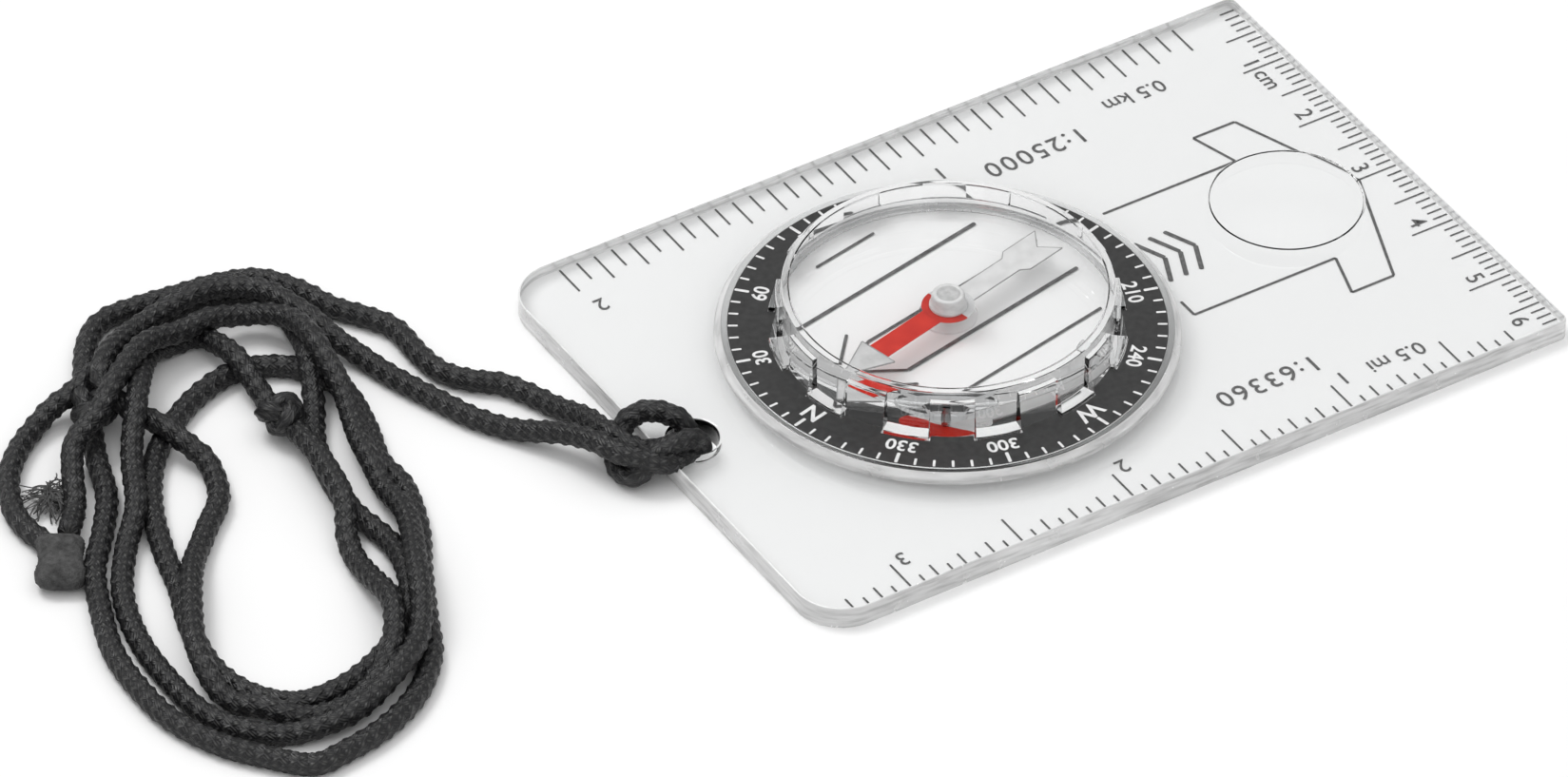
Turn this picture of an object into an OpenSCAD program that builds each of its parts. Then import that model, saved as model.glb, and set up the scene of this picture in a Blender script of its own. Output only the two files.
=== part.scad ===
// Baseplate compass with a liquid capsule, a turning degree dial and a neck lanyard.
// Millimetres. Origin: centre of the baseplate's underside. +Y is the direction of travel,
// +X points to the right-hand edge of the plate and +Z is up.

/* [Baseplate] */
// Width of the clear plate, from one map-scale edge to the other
plate_w = 59.6; // [56:0.2:64]
// Length of the clear plate along the direction of travel
plate_l = 86; // [84:0.5:96]
// Thickness of the clear plate
plate_t = 2.4; // [2.2:0.1:3]
// Radius of the two corners beside the lanyard hole
rear_corner_r = 5; // [2:0.5:8]
// Radius of the two front corners
front_corner_r = 0.8; // [0.4:0.1:4]
// Radius of the lanyard hole
lanyard_hole_r = 2.6; // [2:0.1:3]

/* [Magnifier] */
// Radius of the magnifying lens
lens_r = 7.6; // [6:0.1:9]
// Height of the lens crown above the plate
lens_rise = 1; // [0.5:0.1:1.5]
// Distance of the lens centre ahead of the plate's centre
lens_y = 29.7; // [28:0.1:32]

/* [Dial] */
// Outer radius of the turning dial's flange
dial_r = 22.8; // [22.2:0.1:24]
// Outer radius of the printed degree ring
print_r = 21.5; // [20.5:0.1:21.8]
// Outer radius of the clear grip wall around the capsule
grip_r = 16.3; // [16.1:0.1:16.5]
// Number of grip ribs, and of ledges between them
rib_count = 12; // [6:1:18]
// Top of the grip and capsule above the table
dial_top = 8.7; // [8:0.1:10]
// Bearing the dial is turned to
bearing = 166.3; // [0:0.1:360]

/* [Capsule] */
// Outer radius of the liquid capsule
capsule_r = 15.55; // [15.3:0.05:15.55]
// Thickness of the capsule's side wall
capsule_wall = 0.35; // [0.3:0.05:0.5]
// Thickness of the capsule's window
window_t = 1; // [0.8:0.1:1.4]

/* [Needle] */
// Reach of the north point from the pivot
needle_north_reach = 14.8; // [12:0.1:14.8]
// Reach of the south end from the pivot
needle_south_reach = 14.3; // [12:0.1:14.6]
// Width of the needle blade
needle_w = 2.45; // [1.6:0.05:3]
// Bearing of the needle's north point against the plate
needle_turn = 166.3; // [0:0.1:360]

/* [Lanyard] */
// Diameter of the braided cord
cord_d = 2.2; // [2:0.1:2.4]
// Height of the loose coil, two to three cords deep
coil_h = 4.8; // [4.4:0.1:6]

/* [Hidden] */
$fn = 96;
eps = 0.01;

// Dial seat: the neck runs in the plate's opening with a running clearance
dial_y = -10;
running_gap = 0.06;
neck_r = 17.1;
clip_r = 18.4;
clip_z = 0.15;
clip_t = 0.6;
clip_groove_r = 16.6;
counterbore_r = 18.6;
counterbore_h = 0.9;
flange_z = plate_t + 0.2;
flange_top = plate_t + 1.3;
shoulder_r = 22.1;
shoulder_drop = 0.6;
friction_in_r = 18;
friction_out_r = 21;
friction_t = 0.15;
dial_sheet_t = 0.35;
dial_sheet_gap = 0.02;
rib_r = 16.85;
rib_angle = 14.8;
rib_top = dial_top - 0.9;
ledge_r = 17.6;
ledge_angle = 15.5;
ledge_top = flange_top + 0.4;
sheet_floor = flange_top - dial_sheet_t - dial_sheet_gap;
bite = 0.3;
step_angle = 360 / rib_count;

// Capsule, pivot and needle, measured up from the table
capsule_gap = 0.05;
base_z = 0.2;
base_t = 0.75;
floor_z = base_z + base_t;
cavity_r = capsule_r - capsule_wall;
cavity_top = dial_top - window_t;
plug_r = 0.8;
plug_angle = 28;
plug_z = 5.9;
plug_in = 0.6;
boss_r = 2.9;
boss_t = 0.5;
post_r = 1.5;
post_top_r = 0.9;
post_top = 2.6;
pin_r = 0.25;
pin_z = 1.2;
pin_shoulder = 4.5;
pin_tip = 4.9;
blade_z = 3.45;
blade_t = 0.15;
blade_hole_r = 0.8;
flare_r = 2.65;
head_n = 9.8;
head_w = 4.5;
tail_n = 9.7;
tail_w = 3.8;
notch_n = 12.6;
hub_z = blade_z + blade_t;
hub_r = 1.9;
hub_top_r = 1.53;
hub_top = 6.65;
jewel_r = 0.8;
jewel_gap = 0.01;
jewel_z = 4.7;
jewel_top = 5.9;
jewel_dish_r = 0.5;
jewel_dish_top = 4.95;

// Lanyard route, on the table. The hitch is the bight that comes up out of the hole, goes
// over the rear edge, crosses the two strands and returns; the strands run to the coil.
lanyard_hole_y = -39.3;
cord_z = cord_d / 2;
hitch_route = [
    [1.2, -39, 1.3], [1.3, -39.2, 2.6], [1.5, -40.3, 3.6], [1.6, -42, 3.9], [1.5, -43.7, 3.7],
    [1.7, -45.2, 2.9], [1.4, -46.5, 1.8], [0.1, -47, 1.2], [-1.6, -46.9, 1.1], [-3.1, -46.1, 1.1],
    [-4, -45.2, 1.7], [-4.6, -44, 3.1], [-4.2, -42.2, 3.9], [-3, -40.5, 3.8], [-1.7, -39.3, 3],
    [-1.2, -39, 1.4]];
strand_a_route = [
    [-0.2, -44.3, 1.3], [-0.7, -45.2, 2.3], [-1.6, -45.9, 3.3], [-3, -46.3, 3.7], [-5.2, -46.5, 3],
    [-8, -46.4, 1.8], [-11.5, -47.2, 1.1], [-15, -48.5, 1.1], [-17.8, -50, 1.1], [-19.8, -52.2, 1.1],
    [-22.5, -54, 1.1], [-26, -54.5, 1.1]];
strand_b_route = [
    [2.3, -44.7, 1.2], [1.6, -45.5, 1.5], [0.6, -46.8, 2.6], [-0.8, -47.8, 3.2], [-3, -48.5, 2.7],
    [-6.3, -49.6, 1.7], [-9, -51.2, 1.1], [-12, -53.2, 1.1], [-15, -55, 1.1], [-18, -56.2, 1.1],
    [-21.5, -57.5, 1.1]];
end_a_route = [
    [-38, -84.5, 1.8], [-36.8, -87, 1.3], [-36.5, -90, 1.1], [-34.5, -94, 1.1], [-31, -97.5, 1.1],
    [-27, -99.5, 1.1], [-23.5, -100, 1.1], [-19.8, -99.3, 1.4]];
end_b_route = [
    [-33.5, -84.5, 2.5], [-31, -87.5, 1.6], [-29.5, -91, 1.1], [-26.5, -93, 1.1], [-23.5, -94.5, 1.1],
    [-19.4, -97.6, 1.4]];

// Coil: an egg-shaped ring of loose turns, between two circles at its ends
coil_left = [-31, -70];
coil_left_r = 16.4;
coil_right = [4.5, -87];
coil_right_r = 17.6;
eye_left = [-22, -74];
eye_left_r = 4;
eye_right = [1, -85];
eye_right_r = 9;
knot_a_at = [-34, -86.5, 2.7];
knot_b_at = [-23.5, -71.5, 2.7];
knot_r = 2.6;
sleeve_at = [-16.9, -99.9, 1.5];
sleeve_turn = -30;
sleeve_l = 7.6;
sleeve_w = 5.2;
sleeve_h = 2.9;
fray_at = [-26, -95.7, 1.4];
fray_turn = -18;
fray_l = 5.8;

PLASTIC = [0.86, 0.9, 0.92, 0.45];
CORD = [0.17, 0.17, 0.18];
FLANK = 8;

// A unit vector, and the ring of points around one point of a route
function unit(v) = v / norm(v);
function heading(route, i) =
    unit(route[min(i + 1, len(route) - 1)] - route[max(i - 1, 0)]);
function side(h) = unit(cross(h, [0, 0, 1]));
function ring(route, i, r) = let (h = heading(route, i), s = side(h), u = cross(s, h))
    [for (k = [0 : FLANK - 1]) route[i] + r * (cos(k * 360 / FLANK) * s + sin(k * 360 / FLANK) * u)];

// A tube swept along the points of a route, closed at both ends
module cord_tube(route, r) {
    rings = len(route);
    points = [for (i = [0 : rings - 1]) each ring(route, i, r)];
    walls = [for (i = [0 : rings - 2], k = [0 : FLANK - 1]) let (n = (k + 1) % FLANK)
        [i * FLANK + k, i * FLANK + n, (i + 1) * FLANK + n, (i + 1) * FLANK + k]];
    first = [[for (k = [FLANK - 1 : -1 : 0]) k]];
    last = [[for (k = [0 : FLANK - 1]) (rings - 1) * FLANK + k]];
    color(CORD) polyhedron(points, concat(first, walls, last));
}

// A part of a ring between two radii, centred on +Y
module sector(r_in, r_out, angle, h) {
    linear_extrude(height = h) intersection() {
        difference() {
            circle(r = r_out);
            circle(r = r_in);
        }
        polygon([[0, 0], 2 * r_out * [-sin(angle / 2), cos(angle / 2)],
            2 * r_out * [sin(angle / 2), cos(angle / 2)]]);
    }
}

module ring_solid(r_in, r_out, z, h) {
    translate([0, 0, z]) difference() {
        cylinder(r = r_out, h = h);
        translate([0, 0, -1]) cylinder(r = r_in, h = h + 2);
    }
}

// Places a dial part: turned to the bearing about the dial's axis
module on_dial() {
    translate([0, dial_y, 0]) rotate([0, 0, -bearing]) children();
}

module on_needle() {
    translate([0, dial_y, 0]) rotate([0, 0, -needle_turn]) children();
}

module plate_outline() {
    half_w = plate_w / 2;
    half_l = plate_l / 2;
    translate([-half_w, rear_corner_r - half_l])
        square([plate_w, plate_l - rear_corner_r - front_corner_r]);
    translate([rear_corner_r - half_w, -half_l]) square([plate_w - 2 * rear_corner_r, plate_l / 2]);
    translate([front_corner_r - half_w, 0]) square([plate_w - 2 * front_corner_r, half_l]);
    for (s = [-1, 1]) {
        translate([s * (half_w - rear_corner_r), rear_corner_r - half_l]) circle(r = rear_corner_r);
        translate([s * (half_w - front_corner_r), half_l - front_corner_r]) circle(r = front_corner_r);
    }
}

// Clear plate with the dial's stepped opening, the lens seat and the lanyard hole
module baseplate() {
    color(PLASTIC) difference() {
        linear_extrude(height = plate_t) plate_outline();
        translate([0, dial_y, -1]) cylinder(r = neck_r + running_gap, h = plate_t + 2);
        translate([0, dial_y, -1]) cylinder(r = counterbore_r, h = counterbore_h + 1);
        translate([0, lens_y, -1]) cylinder(r = lens_r, h = plate_t + 2);
        translate([0, lanyard_hole_y, -1]) cylinder(r = lanyard_hole_r, h = plate_t + 2);
    }
}

// Plano-convex lens, flush with the underside and crowned above the plate
module magnifier_lens() {
    r = lens_r - eps;
    dome_r = (r * r + lens_rise * lens_rise) / (2 * lens_rise);
    color(PLASTIC) translate([0, lens_y, 0]) intersection() {
        cylinder(r = r, h = plate_t + lens_rise + 1);
        translate([0, 0, plate_t + lens_rise - dome_r]) sphere(r = dome_r);
    }
}

// Thin ring that keeps the dial where it is set
module friction_ring() {
    color([0.8, 0.82, 0.83, 0.6]) translate([0, dial_y, 0])
        ring_solid(friction_in_r, friction_out_r, plate_t, friction_t);
}

// Low ledges on the flange, which also notch the printed ring
module ledges(grow) {
    for (i = [0 : rib_count - 1]) rotate([0, 0, i * step_angle])
        translate([0, 0, sheet_floor - bite])
            sector(grip_r - bite, ledge_r + grow, ledge_angle + 2 * grow, ledge_top - sheet_floor + bite);
}

module ribs() {
    for (i = [0 : rib_count - 1]) rotate([0, 0, (i + 0.5) * step_angle])
        translate([0, 0, sheet_floor - bite])
            sector(grip_r - bite, rib_r, rib_angle, rib_top - sheet_floor + bite);
}

// Turning bezel: flange on the plate, neck through it, ribbed wall around the capsule
module bezel_ring() {
    bore = capsule_r + capsule_gap;
    seat_r = print_r + dial_sheet_gap;
    groove_top = clip_z + clip_t + dial_sheet_gap;
    color(PLASTIC) on_dial() union() {
        rotate_extrude() polygon([[bore, clip_z], [clip_groove_r, clip_z], [clip_groove_r, groove_top],
            [neck_r, groove_top], [neck_r, flange_z], [dial_r, flange_z],
            [dial_r, flange_top - shoulder_drop], [shoulder_r, flange_top], [seat_r, flange_top],
            [seat_r, sheet_floor], [grip_r, sheet_floor], [grip_r, dial_top], [bore, dial_top]]);
        ledges(0);
        ribs();
    }
}

// Printed ring of bearings, lying in the flange and notched around the ledges
module degree_dial() {
    color([0.13, 0.13, 0.14]) on_dial() difference() {
        ring_solid(rib_r + dial_sheet_gap, print_r, flange_top - dial_sheet_t, dial_sheet_t);
        ledges(dial_sheet_gap);
    }
}

// Clip under the plate that holds the dial down
module retaining_ring() {
    color([0.75, 0.78, 0.8, 0.6]) on_dial() ring_solid(clip_groove_r, clip_r, clip_z, clip_t);
}

// Capsule window and side wall, with the filling hole
module capsule_dome() {
    color(PLASTIC) translate([0, dial_y, 0]) difference() {
        translate([0, 0, floor_z]) cylinder(r = capsule_r, h = dial_top - floor_z);
        translate([0, 0, floor_z - 1]) cylinder(r = cavity_r, h = cavity_top - floor_z + 1);
        rotate([0, 0, plug_angle]) translate([cavity_r - 1, 0, plug_z])
            rotate([0, 90, 0]) cylinder(r = plug_r, h = 3);
    }
}

module capsule_base() {
    color(PLASTIC) translate([0, dial_y, base_z]) cylinder(r = capsule_r, h = base_t);
}

// Plug of the capsule's filling hole
module fill_plug() {
    color([0.75, 0.78, 0.8, 0.6]) translate([0, dial_y, plug_z]) rotate([0, 0, plug_angle])
        translate([cavity_r - plug_in, 0, 0]) rotate([0, 90, 0])
            cylinder(r = plug_r - eps, h = plug_in + capsule_wall - 0.05);
}

module pivot_post() {
    color(PLASTIC) translate([0, dial_y, floor_z]) difference() {
        union() {
            cylinder(r = boss_r, h = boss_t);
            cylinder(r1 = post_r, r2 = post_top_r, h = post_top - floor_z);
        }
        translate([0, 0, pin_z - floor_z]) cylinder(r = pin_r, h = 5);
    }
}

module pivot_pin() {
    color([0.7, 0.7, 0.72]) translate([0, dial_y, pin_z]) {
        cylinder(r = pin_r, h = pin_shoulder - pin_z);
        translate([0, 0, pin_shoulder - pin_z]) cylinder(r1 = pin_r, r2 = 0.05, h = pin_tip - pin_shoulder);
    }
}

// Magnetised strip: arrowhead at the north end, swallow tail at the south end
module needle_outline() {
    half = needle_w / 2;
    flare = [for (a = [-60 : 10 : 60]) flare_r * [cos(a), sin(a)]];
    east = concat([[0, -notch_n], [tail_w / 2, -needle_south_reach], [tail_w / 2, -tail_n],
        [half, -tail_n + 1]], flare, [[half, head_n], [head_w / 2, head_n]]);
    west = [for (i = [len(east) - 1 : -1 : 1]) [-east[i][0], east[i][1]]];
    polygon(concat(east, [[0, needle_north_reach]], west));
}

module needle_blade() {
    color([0.8, 0.24, 0.18]) on_needle() translate([0, 0, blade_z]) difference() {
        linear_extrude(height = blade_t) needle_outline();
        translate([0, 0, -1]) cylinder(r = blade_hole_r, h = blade_t + 2);
    }
}

module needle_hub() {
    color([0.55, 0.56, 0.57]) on_needle() difference() {
        translate([0, 0, hub_z]) cylinder(r1 = hub_r, r2 = hub_top_r, h = hub_top - hub_z);
        translate([0, 0, hub_z - 1]) cylinder(r = jewel_r, h = jewel_top - hub_z + 1);
    }
}

// Bearing stone that rides on the pin's point
module jewel_cup() {
    color([0.75, 0.35, 0.45]) on_needle() difference() {
        translate([0, 0, jewel_z]) cylinder(r = jewel_r - jewel_gap, h = jewel_top - jewel_z);
        translate([0, 0, jewel_z - eps])
            cylinder(r1 = jewel_dish_r, r2 = 0.1, h = jewel_dish_top - jewel_z + eps);
    }
}

module lanyard_hitch() { cord_tube(hitch_route, cord_z); }

module lanyard_strand_a() { cord_tube(strand_a_route, cord_z); }

module lanyard_strand_b() { cord_tube(strand_b_route, cord_z); }

module lanyard_end_a() { cord_tube(end_a_route, cord_z); }

module lanyard_end_b() { cord_tube(end_b_route, cord_z); }

module egg(a, a_r, b, b_r) {
    hull() {
        translate(a) circle(r = a_r);
        translate(b) circle(r = b_r);
    }
}

// Outer shape of the loose coil
module lanyard_coil() {
    color(CORD) linear_extrude(height = coil_h) difference() {
        egg(coil_left, coil_left_r, coil_right, coil_right_r);
        egg(eye_left, eye_left_r, eye_right, eye_right_r);
    }
}

module lanyard_knot_a() { color(CORD) translate(knot_a_at) sphere(r = knot_r); }

module lanyard_knot_b() { color(CORD) translate(knot_b_at) sphere(r = knot_r); }

// Sleeve that joins the two ends of the cord
module lanyard_sleeve() {
    side_w = sleeve_w - sleeve_h;
    color([0.28, 0.28, 0.28]) translate(sleeve_at) rotate([0, 0, sleeve_turn]) rotate([0, 90, 0])
        linear_extrude(height = sleeve_l) {
            square([sleeve_h, side_w], center = true);
            for (s = [-1, 1]) translate([0, s * side_w / 2]) circle(r = sleeve_h / 2);
        }
}

// Frayed tuft that stands out of the sleeve's mouth
module lanyard_frayed_end() {
    color(CORD) translate(fray_at) rotate([0, 0, fray_turn]) rotate([0, 90, 0])
        cylinder(r = cord_z, h = fray_l);
}

baseplate();
magnifier_lens();
friction_ring();
bezel_ring();
degree_dial();
retaining_ring();
capsule_dome();
capsule_base();
fill_plug();
pivot_post();
pivot_pin();
needle_blade();
needle_hub();
jewel_cup();
lanyard_hitch();
lanyard_strand_a();
lanyard_strand_b();
lanyard_coil();
lanyard_knot_a();
lanyard_knot_b();
lanyard_end_a();
lanyard_end_b();
lanyard_sleeve();
lanyard_frayed_end();
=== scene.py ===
"""Baseplate compass with its lanyard: materials, prints, clear parts, braided cord, lights and camera.

The CAD frame gives every size. Lengths below are in millimetres until a mesh is made.
"""
import math

import bmesh
import bpy
import numpy as np
from mathutils import Matrix, Vector


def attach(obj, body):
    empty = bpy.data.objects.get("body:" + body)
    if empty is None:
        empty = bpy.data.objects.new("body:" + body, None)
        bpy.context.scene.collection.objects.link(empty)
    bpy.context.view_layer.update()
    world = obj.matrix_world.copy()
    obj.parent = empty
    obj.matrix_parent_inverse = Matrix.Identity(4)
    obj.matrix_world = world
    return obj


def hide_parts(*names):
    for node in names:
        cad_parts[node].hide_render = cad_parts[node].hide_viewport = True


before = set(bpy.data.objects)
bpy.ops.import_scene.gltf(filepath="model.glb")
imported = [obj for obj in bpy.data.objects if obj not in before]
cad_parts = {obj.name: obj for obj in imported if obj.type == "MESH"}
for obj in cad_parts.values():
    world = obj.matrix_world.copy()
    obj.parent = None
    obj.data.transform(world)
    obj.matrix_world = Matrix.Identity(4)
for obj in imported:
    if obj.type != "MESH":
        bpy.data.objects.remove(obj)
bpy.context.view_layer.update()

MM = 0.001
DIAL_Y = -10.0
BEARING = 166.3
LINES_TURN = 168.8
PLATE_W = 59.6
PLATE_L = 86.0
PLATE_T = 2.4
REAR_R = 5.0
FRONT_R = 0.8
EDGE_R = 0.16
HOLE_Y = -39.3
HOLE_R = 2.6
LENS_Y = 29.7
LENS_R = 7.6
LENS_RISE = 1.0
OPENING_R = 17.16
COUNTERBORE_R = 18.6
COUNTERBORE_H = 0.9
FLANGE_R = 22.8
FLANGE_LOW = 2.6
FLANGE_TOP = 3.7
SHOULDER_R = 22.1
SHOULDER_Z = 3.1
SEAT_R = 21.52
SEAT_Z = 3.33
NECK_R = 17.1
BORE_R = 15.6
GRIP_R = 16.3
DIAL_TOP = 8.7
RIB_R = 16.85
RIB_TOP = 7.8
LEDGE_R = 17.6
LEDGE_TOP = 4.1
CORD_D = 2.2
GRIPS = 12
GRIP_STEP = 30.0
ACRYLIC_IOR = 1.49


# ---------------------------------------------------------------- camera

CAMERA_TARGET = (-3.92, -26.34, 0.0)
CAMERA_DISTANCE = 1340.0
CAMERA_AZIMUTH = 57.44
CAMERA_ELEVATION = 39.96
CAMERA_ROLL = 0.577
CAMERA_LENS = 316.4


def camera():
    """A long lens far away, turned from -Y towards +X."""
    az = math.radians(CAMERA_AZIMUTH)
    el = math.radians(CAMERA_ELEVATION)
    roll = math.radians(CAMERA_ROLL)
    back = Vector((math.sin(az) * math.cos(el), -math.cos(az) * math.cos(el), math.sin(el)))
    level = Vector((math.cos(az), math.sin(az), 0.0))
    rise = back.cross(level)
    right = math.cos(roll) * level + math.sin(roll) * rise
    up = back.cross(right)
    place = (Vector(CAMERA_TARGET) + CAMERA_DISTANCE * back) * MM
    data = bpy.data.cameras.new("camera")
    data.lens = CAMERA_LENS
    data.sensor_width = 36.0
    data.clip_start = 0.05
    data.clip_end = 20.0
    eye = bpy.data.objects.new("camera", data)
    turn = Matrix((right, up, back)).transposed().to_4x4()
    eye.matrix_world = Matrix.Translation(place) @ turn
    bpy.context.scene.collection.objects.link(eye)
    bpy.context.scene.camera = eye


camera()


# ---------------------------------------------------------------- materials

def new_material(name):
    """A material with one Principled shader, and its node tree."""
    mat = bpy.data.materials.new(name)
    mat.use_nodes = True
    shader = mat.node_tree.nodes["Principled BSDF"]
    return mat, mat.node_tree, shader


def set_sockets(shader, values):
    for name, value in values.items():
        shader.inputs[name].default_value = value


def math_node(tree, kind, first, second=None):
    """One Math node, with a link or a number on each input."""
    node = tree.nodes.new("ShaderNodeMath")
    node.operation = kind
    for socket, value in zip(node.inputs, (first, second)):
        if value is None:
            continue
        if isinstance(value, (int, float)):
            socket.default_value = value
        else:
            tree.links.new(value, socket)
    return node.outputs[0]


def noise(tree, scale, detail=3.0, stretch=(1.0, 1.0, 1.0)):
    """Noise fixed to the object, at so many grains a metre."""
    place = tree.nodes.new("ShaderNodeTexCoord")
    mapping = tree.nodes.new("ShaderNodeMapping")
    mapping.inputs["Scale"].default_value = stretch
    grain = tree.nodes.new("ShaderNodeTexNoise")
    grain.inputs["Scale"].default_value = scale
    grain.inputs["Detail"].default_value = detail
    tree.links.new(place.outputs["Object"], mapping.inputs["Vector"])
    tree.links.new(mapping.outputs["Vector"], grain.inputs["Vector"])
    return grain.outputs["Fac"]


def ramp(tree, fac, stops):
    """A colour ramp through (position, grey or colour) stops."""
    node = tree.nodes.new("ShaderNodeValToRGB")
    marks = node.color_ramp.elements
    while len(marks) < len(stops):
        marks.new(0.5)
    for mark, (position, value) in zip(marks, stops):
        mark.position = position
        colour = (value, value, value) if isinstance(value, float) else value
        mark.color = (*colour, 1.0)
    tree.links.new(fac, node.inputs["Fac"])
    return node.outputs["Color"]


def bump(tree, shader, height, strength, distance):
    node = tree.nodes.new("ShaderNodeBump")
    node.inputs["Strength"].default_value = strength
    node.inputs["Distance"].default_value = distance
    tree.links.new(height, node.inputs["Height"])
    tree.links.new(node.outputs["Normal"], shader.inputs["Normal"])


def clear_plastic(name, ior, tint, rough_low, rough_high, wave):
    """Clear plastic: tinted to the eye, and left out of the way of lamps and of soft light."""
    mat, tree, shader = new_material(name)
    set_sockets(shader, {"Base Color": (*tint, 1.0), "IOR": ior, "Transmission Weight": 1.0})
    smudge = noise(tree, 160.0, 5.0)
    rough = ramp(tree, smudge, [(0.42, rough_low), (0.72, rough_high)])
    tree.links.new(rough, shader.inputs["Roughness"])
    bump(tree, shader, noise(tree, 420.0, 2.0), wave, 0.00003)
    through = tree.nodes.new("ShaderNodeBsdfTransparent")
    path = tree.nodes.new("ShaderNodeLightPath")
    out = tree.nodes["Material Output"]
    seen = shader.outputs["BSDF"]
    for ray in ("Is Diffuse Ray", "Is Shadow Ray"):
        mix = tree.nodes.new("ShaderNodeMixShader")
        tree.links.new(path.outputs[ray], mix.inputs["Fac"])
        tree.links.new(seen, mix.inputs[1])
        tree.links.new(through.outputs["BSDF"], mix.inputs[2])
        seen = mix.outputs["Shader"]
    tree.links.new(seen, out.inputs["Surface"])
    return mat


def cut_edge(name, clear):
    """A sawn and lightly polished edge of clear plastic, whose milky white and lighter streaks along it are
    painted light, standing in for the brightness seen in a clear edge.
    """
    mat, tree, shader = new_material(name)
    set_sockets(shader, {"IOR": ACRYLIC_IOR, "Transmission Weight": clear})
    painted_streak_light = noise(tree, 260.0, 5.0, (1.0, 1.0, 9.0))
    # Painted light: milky white with lighter streaks in the colour, in place of light through the clear edge.
    colour = ramp(tree, painted_streak_light, [(0.32, 0.62), (0.5, 0.86), (0.7, 0.98)])
    tree.links.new(colour, shader.inputs["Base Color"])
    polish = ramp(tree, noise(tree, 500.0, 3.0), [(0.3, 0.10), (0.7, 0.30)])
    tree.links.new(polish, shader.inputs["Roughness"])
    bump(tree, shader, noise(tree, 1500.0, 3.0, (1.0, 1.0, 0.4)), 0.3, 0.00003)
    return mat


def painted(name, low, high, rough, grain=900.0, strength=0.15, depth=0.00002, metal=0.0, gloss=0.5):
    """Paint, ink or moulded plastic with a fine mottle and a faint skin."""
    mat, tree, shader = new_material(name)
    set_sockets(shader, {"Metallic": metal, "Specular IOR Level": gloss})
    mottle = noise(tree, grain, 4.0)
    tree.links.new(ramp(tree, mottle, [(0.3, low), (0.7, high)]), shader.inputs["Base Color"])
    polish = ramp(tree, noise(tree, grain * 0.4, 2.0), [(0.3, rough * 0.85), (0.7, min(1.0, rough * 1.2))])
    tree.links.new(polish, shader.inputs["Roughness"])
    bump(tree, shader, noise(tree, grain * 4.0, 2.0), strength, depth)
    return mat


def braid_material():
    """Black nylon braid: each pass of yarn is a bundle of fine filaments, dull, with painted highlights as
    lighter flecks on the crown of each pass and along its filaments, and painted shade in the grooves between
    passes.
    """
    mat, tree, shader = new_material("cord_braid")
    set_sockets(shader, {"Specular IOR Level": 0.5})
    place = tree.nodes.new("ShaderNodeUVMap")
    place.uv_map = "braid"
    split = tree.nodes.new("ShaderNodeSeparateXYZ")
    tree.links.new(place.outputs["UV"], split.inputs["Vector"])
    around = split.outputs["X"]
    along = split.outputs["Y"]
    across = math_node(tree, "COSINE", math_node(tree, "MULTIPLY", around, 2 * math.pi))
    rows = math_node(tree, "COSINE", math_node(tree, "MULTIPLY", along, math.pi))
    crown = math_node(tree, "MULTIPLY", across, rows)
    upper = math_node(tree, "GREATER_THAN", crown, 0.0)
    side = math_node(tree, "SUBTRACT", math_node(tree, "MULTIPLY", upper, 2.0), 1.0)
    lean = math_node(tree, "MULTIPLY", math_node(tree, "MULTIPLY", along, 1.6), side)
    fibre = math_node(tree, "ADD", math_node(tree, "MULTIPLY", around, 4.0), lean)
    fibre = math_node(tree, "SINE", math_node(tree, "MULTIPLY", fibre, 2 * math.pi))
    fibre = math_node(tree, "ADD", math_node(tree, "MULTIPLY", fibre, 0.5), 0.5)
    crown = math_node(tree, "ABSOLUTE", crown)
    # Painted highlight and shade: the colour is lightest on the crown of each yarn pass and along its
    # filaments, and darkest in the grooves between passes, with random flecks on top.
    crown_glint_and_groove_shade = math_node(tree, "MULTIPLY", math_node(tree, "POWER", crown, 1.3), noise(tree, 1500.0, 3.0))
    crown_glint_and_groove_shade = math_node(tree, "MULTIPLY", crown_glint_and_groove_shade, math_node(tree, "ADD", fibre, 0.6))
    stops = [(0.08, (0.003, 0.003, 0.004)), (0.36, (0.010, 0.010, 0.010)), (0.66, (0.046, 0.046, 0.044))]
    tree.links.new(ramp(tree, crown_glint_and_groove_shade, stops), shader.inputs["Base Color"])
    rough = ramp(tree, noise(tree, 700.0), [(0.3, 0.34), (0.7, 0.60)])
    tree.links.new(rough, shader.inputs["Roughness"])
    bump(tree, shader, math_node(tree, "ADD", fibre, math_node(tree, "MULTIPLY", crown, 2.0)), 0.6, 0.00006)
    return mat


PLATE_CLEAR = clear_plastic(
    "plate_clear", ACRYLIC_IOR, (0.885, 0.892, 0.892), 0.004, 0.022, 0.05)
BEZEL_CLEAR = clear_plastic(
    "bezel_clear", ACRYLIC_IOR, (0.91, 0.915, 0.915), 0.004, 0.024, 0.10)
POST_CLEAR = clear_plastic(
    "post_clear", 1.06, (0.93, 0.935, 0.94), 0.02, 0.12, 0.10)
NYLON = clear_plastic(
    "nylon", 1.35, (0.90, 0.905, 0.91), 0.18, 0.34, 0.25)
INK = painted("print_ink", 0.065, 0.15, 0.5, 2600.0, gloss=0.1)
LINE_INK = painted("capsule_ink", 0.035, 0.14, 0.5, 2200.0, gloss=0.1)
RING_BLACK = painted("ring_black", 0.021, 0.034, 0.42, 1400.0, gloss=0.35)
SHEET_BACK = painted("sheet_back", 0.66, 0.80, 0.5, 1400.0)
MARK_WHITE = painted("mark_white", 0.62, 0.80, 0.5, 1800.0)
NEEDLE_RED = painted("needle_red", (0.49, 0.014, 0.006), (0.60, 0.026, 0.012), 0.38, 700.0, gloss=0.1)
NEEDLE_GREY = painted("needle_grey", 0.46, 0.58, 0.42, 700.0, gloss=0.1)
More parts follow.
